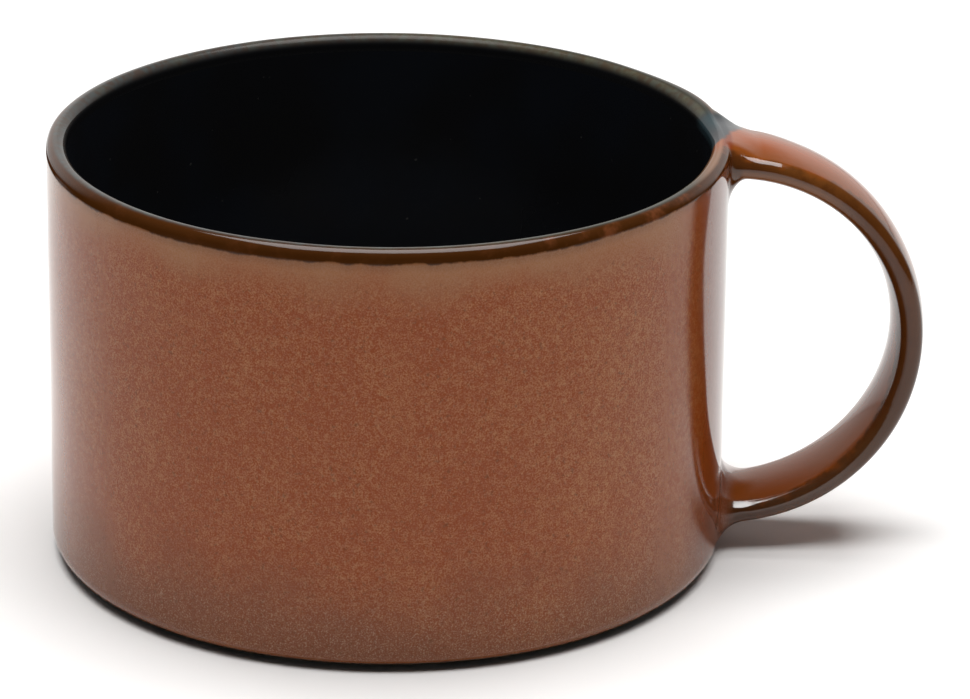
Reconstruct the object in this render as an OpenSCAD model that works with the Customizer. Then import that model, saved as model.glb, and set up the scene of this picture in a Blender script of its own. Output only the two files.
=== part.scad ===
// Low, straight-sided stoneware coffee cup with a half-round strap handle.
// The origin is the centre of the foot, on the table. +Z is up and +X points to the handle.
// Lengths are in millimetres. Sizes of the wall, floor and strap include their coats of glaze.

/* [Cup] */
// Outer diameter of the wall
cup_d = 82; // [70:1:110]
// Height from the table to the top of the lip
cup_h = 52.4; // [46:0.2:80]
// Thickness of the wall
wall_t = 2.4; // [2:0.1:4]
// Thickness of the floor
floor_t = 3.2; // [2.4:0.1:6]
// Radius of the outer corner at the base
base_r = 2.4; // [1.6:0.1:3.6]
// Radius of the inner corner between wall and floor
inside_r = 7; // [3:0.5:12]

/* [Foot] */
// Height of the foot ring below the glazed base
foot_h = 0.4; // [0.2:0.1:1]
// Width of the foot ring
foot_w = 3.2; // [2:0.1:6]
// Distance from the start of the base corner in to the foot ring
foot_setback = 0.5; // [0.2:0.1:3]
// Rounding of the foot ring's two edges
foot_edge_r = 0.3; // [0.1:0.05:0.5]

/* [Glaze] */
// Thickness of each coat
glaze_t = 0.4; // [0.3:0.05:0.6]
// Reach of the rim coat down the outside, from the top of the lip
rim_outside = 2; // [1.5:0.1:4]
// Reach of the rim coat down the inside, from the top of the lip
rim_inside = 2; // [1.5:0.1:4]

/* [Handle] */
// Drop from the top of the lip to the top of the strap
handle_drop = 0.95; // [0.8:0.05:6]
// Height of the strap's underside above the table
handle_rise = 3.05; // [2.5:0.05:8]
// Distance from the wall out to the centre of the half ring
handle_out = 0.2; // [0:0.1:4]
// Thickness of the strap at its middle
strap_t = 3.8; // [3.2:0.1:6]
// Width of the strap
strap_w = 12; // [8:0.5:18]
// Radius of the strap's round edges
strap_edge_r = 1.4; // [1:0.1:1.5]

/* [Joints] */
// Climb of the upper joint from the strap towards the lip
upper_climb = 0.85; // [0.3:0.05:0.9]
// Length of that climb along the strap
upper_slope = 4; // [2:0.1:8]
// Fillet radius under the upper end of the strap
upper_under_r = 2.7; // [1:0.1:5]
// Fillet radius beside the upper end of the strap
upper_side_r = 3; // [1:0.1:5]
// Fillet radius over the lower end of the strap
lower_over_r = 3; // [1:0.1:5]
// Fillet radius beside the lower end of the strap
lower_side_r = 5; // [1:0.1:6]
// Fillet radius under the lower end of the strap
lower_under_r = 0.6; // [0.2:0.1:1]

/* [Hidden] */
$fn = 240;

// Colours of the clay and of the coats
CLAY = [0.62, 0.52, 0.43];
RUST = [0.49, 0.30, 0.22];
BLACK = [0.03, 0.03, 0.035];
BROWN = [0.22, 0.13, 0.06];
ORANGE = [0.55, 0.28, 0.17];

// Overlap that lets a cutting shape pass right through
pass = 1;

// Radii and heights of the glazed cup
cup_r = cup_d / 2;
inner_r = cup_r - wall_t;
lip_r = wall_t / 2;
crest_r = cup_r - lip_r;
lip_z = cup_h - lip_r;
recess_z = foot_h + glaze_t;
floor_z = recess_z + floor_t;
foot_r = cup_r - base_r - foot_setback;

// Height between the coat under the base and the coat on the floor
split_z = (recess_z + floor_z) / 2;

// The handle's half ring: radius of its outer face, path of the strap's middle, and centre
handle_r = (cup_h - handle_drop - handle_rise) / 2;
path_r = handle_r - strap_t / 2;
ring_x = cup_r + handle_out;
ring_z = handle_rise + handle_r;

// The strap's section: arcs of the edges, and crowned faces that run into them smoothly
edge_y = strap_w / 2 - strap_edge_r;
crown_r = (edge_y ^ 2 + (strap_t / 2) ^ 2 - strap_edge_r ^ 2) / (strap_t - 2 * strap_edge_r);
crown_a = asin(edge_y / (crown_r - strap_edge_r));

// How far the wall has fallen back at a distance y to the side
function wall_sag(y) = cup_r - sqrt(cup_r ^ 2 - y ^ 2);

// Turn that takes a strip of half width y, at radius r of the ring, into the wall's clay
function root_turn(y, r) = asin((handle_out + wall_sag(y) + glaze_t + pass) / r);

// Length of each joint along the strap, from the wall, and the turn of the ring at its end
upper_len = max(upper_slope, upper_under_r, upper_side_r);
lower_len = max(lower_over_r, lower_side_r, lower_under_r);
upper_a = asin((upper_len - handle_out) / path_r);
lower_a = asin((lower_len - handle_out) / path_r);

// Turns by which the strap and the widened joints run on into the wall
inside_ring_r = handle_r - strap_t;
strap_root_a = root_turn(strap_w / 2, inside_ring_r);
upper_root_a = root_turn(strap_w / 2 + upper_side_r, inside_ring_r - upper_under_r);
lower_root_a = root_turn(strap_w / 2 + lower_side_r, inside_ring_r - lower_over_r);

// Steps of a joint's surface: along the strap, and round each face and edge of its section
JOINT_RINGS = 16;
FACE_STEPS = 6;
EDGE_STEPS = 8;

// Turns a half profile about the cup's axis, with the seam away from the handle
module turned() {
    rotate([0, 0, 180]) rotate_extrude() children();
}

// Half profile of a drum with a rounded lower edge
module drum(r, bottom, top, corner) {
    translate([0, bottom]) square([r - corner, top - bottom]);
    translate([0, bottom + corner]) square([r, top - bottom - corner]);
    translate([r - corner, bottom + corner]) circle(corner);
}

// Half profile of the cup without its foot, at a depth under the glazed surface
module cup_profile(depth) {
    difference() {
        drum(cup_r - depth, foot_h + depth, lip_z, base_r - depth);
        drum(inner_r + depth, floor_z - depth, cup_h + pass, inside_r + depth);
    }
    translate([crest_r, lip_z]) circle(lip_r - depth);
}

// Half profile of the foot ring, let into the floor
module foot_profile() {
    translate([foot_r - foot_w, 0]) {
        translate([foot_edge_r, 0]) square([foot_w - 2 * foot_edge_r, split_z]);
        translate([0, foot_edge_r]) square([foot_w, split_z - foot_edge_r]);
        for (x = [foot_edge_r, foot_w - foot_edge_r])
            translate([x, foot_edge_r]) circle(foot_edge_r);
    }
}

// Half profile of a coat all round the cup
module coat_profile() {
    difference() {
        cup_profile(0);
        cup_profile(glaze_t);
    }
}

// The clay cup as a solid lump, which ends whatever meets it from outside
module clay_lump() {
    turned() {
        drum(cup_r - glaze_t, foot_h + glaze_t, lip_z, base_r - glaze_t);
        translate([crest_r, lip_z]) circle(lip_r - glaze_t);
        square([crest_r, cup_h]);
    }
}

// Section of the strap, at a depth under the glazed surface
module strap_section(depth) {
    half_t = strap_t / 2 - depth;
    face_r = crown_r - depth;
    translate([path_r, 0]) {
        intersection() {
            translate([half_t - face_r, 0]) circle(face_r, $fn = 4 * $fn);
            translate([face_r - half_t, 0]) circle(face_r, $fn = 4 * $fn);
            square([strap_t, 2 * face_r * sin(crown_a)], center = true);
        }
        for (side = [-1, 1])
            translate([0, side * edge_y]) circle(strap_edge_r - depth);
    }
}

// Section of the coat round the strap
module strap_coat_section() {
    difference() {
        strap_section(0);
        strap_section(glaze_t);
    }
}

// Sweeps a section round the handle's ring, from one angle to another above +X
module round_ring(from_a, to_a) {
    translate([ring_x, 0, ring_z])
        rotate([90, 0, 0])
            rotate([0, 0, from_a])
                rotate_extrude(angle = to_a - from_a) children();
}

// Points round the glazed section, from the middle of the strap, each with its outward direction
function section_points() = [
    for (half = [1, -1])
        each concat(
            [for (i = [0 : FACE_STEPS])
                let (a = crown_a * (2 * i / FACE_STEPS - 1), out = [cos(a), sin(a)])
                half * [crown_r * out - [crown_r - strap_t / 2, 0], out]],
            [for (i = [1 : EDGE_STEPS - 1])
                let (a = crown_a + (180 - 2 * crown_a) * i / EDGE_STEPS, out = [cos(a), sin(a)])
                half * [strap_edge_r * out + [0, edge_y], out]]
        )
];

// Growth of a fillet of radius r at distance s from the wall
function fillet(s, r) = s <= 0 ? r : s >= r ? 0 : r - sqrt(r ^ 2 - (r - s) ^ 2);

// Growth of the upper joint's climb at distance s from the wall
function climb(s) = upper_climb * min(1, max(0, 1 - (s + lip_r) / (upper_slope + lip_r))) ^ 2;

// One ring of a joint: the section at ring angle t, grown on its outer and inner faces and widened
function joint_ring(t, outer_g, inner_g, edge_g) = [
    for (q = section_points())
        let (point = q[0], out = q[1],
             r = path_r + point[0] + out[0] * (out[0] > 0 ? outer_g : inner_g),
             y = point[1] * (1 + edge_g / (strap_w / 2)))
        [ring_x + r * cos(t), y, ring_z + r * sin(t)]
];

// Turn of the ring at step i of a joint, from root_a inside the wall to end_a along the strap
function joint_turn(i, root_a, end_a) = -root_a + (end_a + root_a) * i / JOINT_RINGS;

// Distance from the wall after that turn
function joint_reach(turn) = handle_out + path_r * sin(turn);

// Closed skin over a stack of rings
module skin(rings, inside_out) {
    n = len(rings[0]);
    last = len(rings) - 1;
    walls = [
        for (i = [0 : last - 1], j = [0 : n - 1])
            let (a = i * n + j, b = i * n + (j + 1) % n)
            each [[a, b, b + n], [a, b + n, a + n]]
    ];
    caps = [
        [for (j = [n - 1 : -1 : 0]) j],
        [for (j = [0 : n - 1]) last * n + j]
    ];
    faces = concat(walls, caps);
    polyhedron([for (ring = rings) each ring],
               inside_out ? [for (f = faces) [for (k = [len(f) - 1 : -1 : 0]) f[k]]] : faces);
}

// Whole form of the upper joint, with the strap and the wall still inside it
module upper_joint_form() {
    skin([
        for (i = [0 : JOINT_RINGS])
            let (turn = joint_turn(i, upper_root_a, upper_a), s = joint_reach(turn),
                 side_s = s + wall_sag(strap_w / 2))
            joint_ring(90 - turn, climb(s), fillet(s, upper_under_r), fillet(side_s, upper_side_r))
    ], false);
}

// Whole form of the lower joint, with the strap and the wall still inside it
module lower_joint_form() {
    skin([
        for (i = [0 : JOINT_RINGS])
            let (turn = joint_turn(i, lower_root_a, lower_a), s = joint_reach(turn),
                 side_s = s + wall_sag(strap_w / 2))
            joint_ring(turn - 90, fillet(s, lower_under_r), fillet(s, lower_over_r),
                       fillet(side_s, lower_side_r))
    ], true);
}

// The clay strap with both ends still running into the wall
module strap() {
    round_ring(-90 - strap_root_a, 90 + strap_root_a) strap_section(glaze_t);
}

// Fired clay wall, floor and foot ring
module cup_body() {
    color(CLAY) turned() {
        cup_profile(glaze_t);
        foot_profile();
    }
}

// Clay strap, ended on the wall
module handle_loop() {
    color(CLAY) difference() {
        strap();
        clay_lump();
    }
}

// Glazed clay that fixes the strap's upper end, against the wall and the coat of the lip
module upper_joint() {
    color(ORANGE) difference() {
        upper_joint_form();
        clay_lump();
        strap();
        rim_glaze();
    }
}

// Glazed clay that fixes the strap's lower end
module lower_joint() {
    color(ORANGE) difference() {
        lower_joint_form();
        clay_lump();
        strap();
    }
}

// Black coat on the floor and up the inside of the wall
module inner_glaze() {
    color(BLACK) turned() intersection() {
        coat_profile();
        translate([0, split_z]) square([crest_r, cup_h - rim_inside - split_z]);
    }
}

// Rust coat from the foot up the outside of the wall, open where the joints sit
module outer_glaze() {
    color(RUST) difference() {
        turned() intersection() {
            coat_profile();
            union() {
                translate([foot_r, 0]) square([cup_r, split_z]);
                translate([crest_r, 0]) square([cup_r, cup_h - rim_outside]);
            }
        }
        upper_joint_form();
        lower_joint_form();
    }
}

// Brown coat over the lip
module rim_glaze() {
    color(BROWN) turned() intersection() {
        coat_profile();
        union() {
            translate([crest_r, cup_h - rim_outside]) square([cup_r, rim_outside + pass]);
            translate([0, cup_h - rim_inside]) square([crest_r, rim_inside + pass]);
        }
    }
}

// Rust coat round the strap, from joint to joint
module handle_glaze() {
    color(ORANGE) round_ring(lower_a - 90, 90 - upper_a) strap_coat_section();
}

cup_body();
handle_loop();
upper_joint();
lower_joint();
inner_glaze();
outer_glaze();
rim_glaze();
handle_glaze();
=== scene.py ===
"""Dresses a low stoneware coffee cup: its coats of glaze, the roots of its handle, its clay and a studio.

Lengths are in metres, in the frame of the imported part: the origin is the centre of the foot on the table, +Z
is up and +X points to the handle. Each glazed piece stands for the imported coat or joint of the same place.
"""

import logging
import math
from dataclasses import dataclass
from enum import Enum
from functools import reduce
from typing import Callable, Iterator, NamedTuple, Sequence, Union

import bpy
import numpy as np
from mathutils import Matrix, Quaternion, Vector


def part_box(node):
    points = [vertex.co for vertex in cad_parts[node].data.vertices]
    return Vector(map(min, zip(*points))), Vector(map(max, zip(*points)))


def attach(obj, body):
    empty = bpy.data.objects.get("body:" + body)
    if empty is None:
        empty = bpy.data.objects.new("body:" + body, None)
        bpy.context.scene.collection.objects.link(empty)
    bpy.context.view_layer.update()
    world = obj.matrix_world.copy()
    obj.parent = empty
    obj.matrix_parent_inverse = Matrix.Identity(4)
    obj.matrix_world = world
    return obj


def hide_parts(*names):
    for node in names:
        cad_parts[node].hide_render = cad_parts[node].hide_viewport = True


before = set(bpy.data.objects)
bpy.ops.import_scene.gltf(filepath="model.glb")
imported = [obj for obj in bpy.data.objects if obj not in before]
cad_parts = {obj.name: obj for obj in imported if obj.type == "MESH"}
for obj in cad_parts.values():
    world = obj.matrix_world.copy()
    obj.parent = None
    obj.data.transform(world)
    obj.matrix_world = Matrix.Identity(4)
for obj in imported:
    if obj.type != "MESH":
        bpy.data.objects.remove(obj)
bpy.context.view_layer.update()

MM = 0.001
TINY = 1e-9
BODY = "root"
EDGE_ANGLE = math.radians(50)
GLAZE_IOR = 1.5
NOISE_LOW = 0.3
NOISE_HIGH = 0.7
ARC_RADIUS_PLACE = 4
LOG = logging.getLogger("coffee_cup")

Colour = tuple[float, float, float]
Marks = tuple[float, ...]
Socket = bpy.types.NodeSocket
Value = Union[bool, int, float, str, Sequence[float], bpy.types.ID, Socket]
Inputs = dict[Union[str, int], Value]


class Slot(Enum):
    """Names of material slots, one for each kind of new piece."""

    WALL = "rust_glaze"
    HANDLE = "handle_rust_glaze"
    LIP = "brown_glaze"
    INSIDE = "black_glaze"


class StrapEnd(Enum):
    """Ends of the strap, valued by the side of the ring's centre that they lie on."""

    UPPER = 1
    LOWER = -1


class Ramp(NamedTuple):
    """A smooth step: where it starts and ends, and its value before and after."""

    start: float
    end: float
    low: float = 0.0
    high: float = 1.0


@dataclass(frozen=True)
class Pattern:
    """Noise in space, and the values that it is spread between.

    Attributes:
        size: Width of one grain or cloud.
        seed: Fixed choice among patterns.
        detail: Number of finer layers.
        rough: Strength of the finer layers.
        start: Noise at which the spread starts.
        end: Noise at which it ends.
        low: Value up to the start.
        high: Value from the end on.
    """

    size: Value
    seed: float
    detail: float = 2.0
    rough: float = 0.5
    start: float = NOISE_LOW
    end: float = NOISE_HIGH
    low: float = 0.0
    high: float = 1.0


def rgba(colour: Colour) -> tuple[float, float, float, float]:
    """Returns a linear colour with full opacity."""
    return (*colour, 1.0)


class NodeSheet:
    """A node tree together with short ways to add and link its nodes."""

    def __init__(self, tree: bpy.types.NodeTree) -> None:
        """Keeps the tree that the nodes go into."""
        self.tree = tree

    def add(self, kind: str, inputs: Inputs | None = None, **settings: object) -> bpy.types.Node:
        """Adds one node.

        Args:
            kind: Type of the node.
            inputs: Values or sockets to put into its inputs, by name or place.
            settings: Properties of the node itself, which are set first.

        Returns:
            The new node.
        """
        node = self.tree.nodes.new(kind)
        for name, value in settings.items():
            setattr(node, name, value)
        for key, value in (inputs or {}).items():
            if isinstance(value, Socket):
                self.tree.links.new(value, node.inputs[key])
            else:
                node.inputs[key].default_value = value
        return node

    def out(self, kind: str, inputs: Inputs | None = None, **settings: object) -> Socket:
        """Adds one node, as add does, and returns its first output."""
        return self.add(kind, inputs, **settings).outputs[0]

    def math(self, operation: str, first: Value, second: Value = 0.0) -> Socket:
        """Returns the result of a sum of one or two numbers."""
        return self.out("ShaderNodeMath", {0: first, 1: second}, operation=operation)

    def product(self, *factors: Value) -> Socket:
        """Returns the product of two or more numbers or sockets."""
        return reduce(lambda first, second: self.math("MULTIPLY", first, second), factors)

    def total(self, *terms: Value) -> Socket:
        """Returns the total of two or more numbers or sockets."""
        return reduce(lambda first, second: self.math("ADD", first, second), terms)

    def rest(self, share: Value) -> Socket:
        """Returns what a share leaves of the whole."""
        return self.math("SUBTRACT", 1.0, share)

    def vector(self, operation: str, first: Value, second: Value = (0.0, 0.0, 0.0)) -> Socket:
        """Returns the vector result of a sum of one or two vectors."""
        return self.out("ShaderNodeVectorMath", {0: first, 1: second}, operation=operation)

    def length(self, vector: Value) -> Socket:
        """Returns the length of a vector."""
        return self.add("ShaderNodeVectorMath", {0: vector}, operation="LENGTH").outputs["Value"]

    def place(self) -> Socket:
        """Returns the place on the piece itself, for a material."""
        return self.add("ShaderNodeTexCoord").outputs["Object"]

    def level(self, place: Socket) -> Socket:
        """Returns the way from the cup's axis to a place, without its height."""
        return self.vector("MULTIPLY", place, (1.0, 1.0, 0.0))

    def axes(self, place: Socket) -> tuple[Socket, Socket, Socket]:
        """Returns the X, Y and Z of a place."""
        return tuple(self.add("ShaderNodeSeparateXYZ", {0: place}).outputs)

    def step(self, value: Value, start: Value, end: Value, low: float = 0.0, high: float = 1.0) -> Socket:
        """Adds a smooth step.

        Args:
            value: Number that the step follows.
            start: Value at which the step starts.
            end: Value at which it ends.
            low: Result before the step.
            high: Result after the step.

        Returns:
            The result.
        """
        return self.out("ShaderNodeMapRange", {0: value, 1: start, 2: end, 3: low, 4: high},
                        interpolation_type="SMOOTHSTEP")

    # A mix node takes numbers at places 2 and 3 and colours at places 6 and 7, and gives a colour at place 2.

    def blend(self, share: Value, first: Value, second: Value) -> Socket:
        """Returns a mix of two numbers by the share of the second."""
        return self.out("ShaderNodeMix", {0: share, 2: first, 3: second}, data_type="FLOAT")

    def mix(self, share: Value, first: Union[Colour, Socket], second: Union[Colour, Socket]) -> Socket:
        """Returns a mix of two colours by the share of the second."""
        ends = [end if isinstance(end, Socket) else rgba(end) for end in (first, second)]
        return self.add("ShaderNodeMix", {0: share, 6: ends[0], 7: ends[1]}, data_type="RGBA").outputs[2]

    def noise(self, place: Socket, pattern: Pattern) -> Socket:
        """Adds the plain noise of a pattern.

        Args:
            place: Position that is looked up.
            pattern: The pattern.

        Returns:
            A number round 0.5.
        """
        size = pattern.size
        scale = self.math("DIVIDE", 1.0, size) if isinstance(size, Socket) else 1.0 / size
        return self.out("ShaderNodeTexNoise", {
            "Vector": place, "W": pattern.seed, "Scale": scale, "Detail": pattern.detail,
            "Roughness": pattern.rough}, noise_dimensions="4D")

    def spread(self, noise: Socket, low: float, high: float) -> Socket:
        """Returns noise spread from low to high over its usual range."""
        return self.step(noise, NOISE_LOW, NOISE_HIGH, low, high)

    def pattern(self, place: Socket, pattern: Pattern) -> Socket:
        """Returns the noise of a pattern, spread between the pattern's own values."""
        return self.step(self.noise(place, pattern), pattern.start, pattern.end, pattern.low, pattern.high)


class MaterialSheet(NodeSheet):
    """The node tree of a new material."""

    def __init__(self, name: str) -> None:
        """Starts an empty node material.

        Args:
            name: Name of the material.
        """
        self.material = bpy.data.materials.new(name)
        self.material.use_nodes = True
        self.material.node_tree.nodes.clear()
        super().__init__(self.material.node_tree)

    def close(self, inputs: dict[str, Value]) -> bpy.types.Material:
        """Ends the tree with one surface.

        Args:
            inputs: Values or sockets of the surface, by name.

        Returns:
            The material.
        """
        self.add("ShaderNodeOutputMaterial", {"Surface": self.out("ShaderNodeBsdfPrincipled", inputs)})
        return self.material


class GeometrySheet(NodeSheet):
    """A Geometry Nodes tree whose named inputs are the sizes of a piece."""

    def __init__(self, name: str) -> None:
        """Starts a tree with geometry going in and coming out.

        Args:
            name: Name of the tree.
        """
        super().__init__(bpy.data.node_groups.new(name, "GeometryNodeTree"))
        self.tree.interface.new_socket("Geometry", in_out="OUTPUT", socket_type="NodeSocketGeometry")
        self.tree.interface.new_socket("Geometry", in_out="INPUT", socket_type="NodeSocketGeometry")
        self.entry = self.tree.nodes.new("NodeGroupInput")
        self.values: dict[str, Value] = {}

    def size(self, name: str, value: Value, kind: str = "NodeSocketFloat") -> Socket:
        """Adds a named input.

        Args:
            name: What the input is.
            value: Its value on this piece.
            kind: Its socket type.

        Returns:
            The socket that carries the value inside the tree.
        """
        item = self.tree.interface.new_socket(name, in_out="INPUT", socket_type=kind)
        self.values[item.identifier] = value
        return self.entry.outputs[name]

    def pick(self, choices: Sequence[Socket], kind: str) -> Socket:
        """Adds a choice by the index of the point.

        Args:
            choices: One socket for each point.
            kind: Data type of the sockets.

        Returns:
            The choice of the point at hand.
        """
        node = self.add("GeometryNodeIndexSwitch", data_type=kind)
        for _ in choices[2:]:
            node.index_switch_items.new()
        for place, socket in enumerate((self.out("GeometryNodeInputIndex"), *choices)):
            self.tree.links.new(socket, node.inputs[place])
        return node.outputs[0]

    def sweep(self, rail: Socket, profile: Socket) -> Socket:
        """Returns the surface that a profile leaves along a level rail."""
        upright = self.out("GeometryNodeSetCurveNormal", {"Curve": rail}, mode="Z_UP")
        return self.out("GeometryNodeCurveToMesh", {"Curve": upright, "Profile Curve": profile})

    def close(self, shape: Socket, material: bpy.types.Material) -> None:
        """Ends the tree of a piece.

        Args:
            shape: Finished geometry.
            material: Finish of the whole piece.
        """
        smooth = self.out("GeometryNodeSetShadeSmooth", {"Geometry": shape})
        real = self.out("GeometryNodeRealizeInstances", {"Geometry": smooth})
        finish = self.size("Finish", material, "NodeSocketMaterial")
        dressed = self.out("GeometryNodeSetMaterial", {"Geometry": real, "Material": finish})
        self.add("NodeGroupOutput", {"Geometry": dressed})

    def grow(self, name: str, start: bpy.types.Mesh | None = None, wall: float = 0.0) -> bpy.types.Object:
        """Runs the tree and keeps its result as a plain mesh.

        Args:
            name: Name of the piece.
            start: Mesh that the tree starts from, if any.
            wall: Thickness given to the surface, inwards.

        Returns:
            The piece, at the origin.
        """
        rough = bpy.data.objects.new("rough_" + name, start or bpy.data.meshes.new("rough_" + name))
        bpy.context.scene.collection.objects.link(rough)
        modifier = rough.modifiers.new("Shape", "NODES")
        modifier.node_group = self.tree
        for identifier, value in self.values.items():
            modifier[identifier] = value
        if wall:
            thick = rough.modifiers.new("Wall", "SOLIDIFY")
            thick.thickness = wall
            thick.offset = -1.0
            thick.use_even_offset = True
        graph = bpy.context.evaluated_depsgraph_get()
        mesh = bpy.data.meshes.new_from_object(rough.evaluated_get(graph))
        bpy.data.objects.remove(rough)
        mesh.name = name
        mesh.set_sharp_from_angle(angle=EDGE_ANGLE)
        piece = bpy.data.objects.new(name, mesh)
        bpy.context.scene.collection.objects.link(piece)
        return piece


@dataclass(frozen=True)
class CupShape:
    """Sizes of the glazed cup, from its packed coats."""

    coat: float = 0.4 * MM
    base_round: float = 2.4 * MM
    inside_round: float = 7.0 * MM
    foot_setback: float = 0.5 * MM
    radius: float = -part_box("outer_glaze")[0].x
    height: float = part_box("rim_glaze")[1].z
    lip_low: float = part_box("rim_glaze")[0].z
    base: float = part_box("outer_glaze")[0].z
    clay_bore: float = -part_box("inner_glaze")[0].x
    clay_floor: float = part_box("inner_glaze")[0].z

    @property
    def bore(self) -> float:
        """Radius of the inside."""
        return self.clay_bore - self.coat

    @property
    def floor(self) -> float:
        """Height of the floor inside."""
        return self.clay_floor + self.coat

    @property
    def lip_round(self) -> float:
        """Radius of the full-round lip."""
        return (self.radius - self.bore) / 2

    @property
    def crest(self) -> float:
        """Radius at the top of the lip."""
        return self.radius - self.lip_round

    @property
    def foot(self) -> float:
        """Outer radius of the bare foot ring."""
        return self.radius - self.base_round - self.foot_setback


@dataclass(frozen=True)
class StrapShape:
    """Sizes of the glazed strap, from its packed clay."""

    coat: float = 0.4 * MM
    thickness: float = 3.8 * MM
    edge_round: float = 1.4 * MM
    upper_length: float = 4.0 * MM
    lower_length: float = 5.0 * MM
    root_gap: float = 0.2 * MM
    clay_side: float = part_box("handle_loop")[1].y
    clay_low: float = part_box("handle_loop")[0].z
    clay_high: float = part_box("handle_loop")[1].z
    clay_far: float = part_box("handle_loop")[1].x
    points: int = 160
    steps: int = 220

    @property
    def width(self) -> float:
        """Width across the strap."""
        return 2 * (self.clay_side + self.coat)

    @property
    def outer(self) -> float:
        """Radius of the half ring's outer face."""
        return (self.clay_high - self.clay_low) / 2 + self.coat

    @property
    def path(self) -> float:
        """Radius of the strap's middle line."""
        return self.outer - self.thickness / 2

    @property
    def centre_x(self) -> float:
        """Distance of the half ring's centre from the cup's axis."""
        return self.clay_far + self.coat - self.outer

    @property
    def centre_z(self) -> float:
        """Height of the half ring's centre."""
        return (self.clay_high + self.clay_low) / 2

    @property
    def edge(self) -> float:
        """Distance from the middle of the section to the centre of a round edge."""
        return self.width / 2 - self.edge_round

    @property
    def crown(self) -> float:
        """Radius of the crowned faces, which run smoothly into the round edges."""
        half = self.thickness / 2
        return (self.edge ** 2 + half ** 2 - self.edge_round ** 2) / (2 * (half - self.edge_round))

    @property
    def crown_turn(self) -> float:
        """Half the turn of a crowned face."""
        return math.asin(self.edge / (self.crown - self.edge_round))

    def end_turn(self, end: StrapEnd) -> float:
        """Returns the turn of the ring from the wall to the far end of a root."""
        length = self.upper_length if end is StrapEnd.UPPER else self.lower_length
        return math.asin((length - self.root_gap) / self.path)

    @property
    def half_step(self) -> float:
        """Half the turn between two steps along the coat, by which its ends lean."""
        turn = math.pi - self.end_turn(StrapEnd.UPPER) - self.end_turn(StrapEnd.LOWER)
        return turn / (self.steps - 1) / 2

    def section(self) -> np.ndarray:
        """Works out the section, point by point round its outward directions.

        Returns:
            The points, as distances away from the strap's middle line and along Y.
        """
        turn = np.arange(self.points) * 2 * math.pi / self.points
        out = np.stack([np.cos(turn), np.sin(turn)], axis=1)
        on_face = np.abs(out[:, 0]) > math.cos(self.crown_turn)
        face = self.crown * out
        face[:, 0] -= np.sign(out[:, 0]) * (self.crown - self.thickness / 2)
        edge = self.edge_round * out
        edge[:, 1] += np.sign(out[:, 1]) * self.edge
        return np.where(on_face[:, None], face, edge)


CUP = CupShape()
STRAP = StrapShape()


@dataclass(frozen=True)
class Zone:
    """A soft-edged zone of the cup.

    Each distance of a spot takes pairs of millimetres: where the zone has faded out, and where it is full.

    Attributes:
        strength: Value of the zone where it is full.
    """

    strength: float = 1.0
    x: Marks = ()
    y: Marks = ()
    z: Marks = ()
    side: Marks = ()
    reach: Marks = ()
    lip: Marks = ()
    below: Marks = ()
    ring_x: Marks = ()
    ring_z: Marks = ()
    away: Marks = ()

    def fades(self) -> Iterator[tuple[str, float, float]]:
        """Goes through the edges of the zone.

        Yields:
            The distance that an edge lies along, where the zone has faded out and where it is full.
        """
        for distance, marks in vars(self).items():
            if distance != "strength":
                for out, full in zip(marks[::2], marks[1::2]):
                    yield distance, out * MM, full * MM


class Spot:
    """Where a place lies on the cup, as distances in a node tree.

    Attributes:
        x, y, z: The place along the axes.
        side: Distance to either side of the handle's middle plane.
        reach: Distance outside the wall.
        lip: Distance outside the crest of the lip.
        below: Distance below the top of the lip.
        ring_x, ring_z: The place beside the centre of the handle's half ring.
        away: Distance outside the strap's middle line.
    """

    def __init__(self, sheet: NodeSheet, place: Socket) -> None:
        """Works out the distances.

        Args:
            sheet: Tree that they are worked out in.
            place: Position.
        """
        self.sheet = sheet
        self.place = place
        self.x, self.y, self.z = sheet.axes(place)
        self.side = sheet.math("ABSOLUTE", self.y)
        from_axis = sheet.length(sheet.level(place))
        self.reach = sheet.math("SUBTRACT", from_axis, CUP.radius)
        self.lip = sheet.math("SUBTRACT", from_axis, CUP.crest)
        self.below = sheet.math("SUBTRACT", CUP.height, self.z)
        flat = sheet.vector("MULTIPLY", place, (1.0, 0.0, 1.0))
        arm = sheet.vector("SUBTRACT", flat, (STRAP.centre_x, 0.0, STRAP.centre_z))
        self.ring_x, _, self.ring_z = sheet.axes(arm)
        self.away = sheet.math("SUBTRACT", sheet.length(arm), STRAP.path)

    def within(self, zone: Zone) -> Socket:
        """Returns the value of a zone at the spot, which is 0 outside the zone."""
        shares = [self.sheet.step(getattr(self, distance), out, full) for distance, out, full in zone.fades()]
        return self.sheet.product(*shares, zone.strength)

    def pattern(self, pattern: Pattern) -> Socket:
        """Returns the value of a pattern at the spot."""
        return self.sheet.pattern(self.place, pattern)


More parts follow.
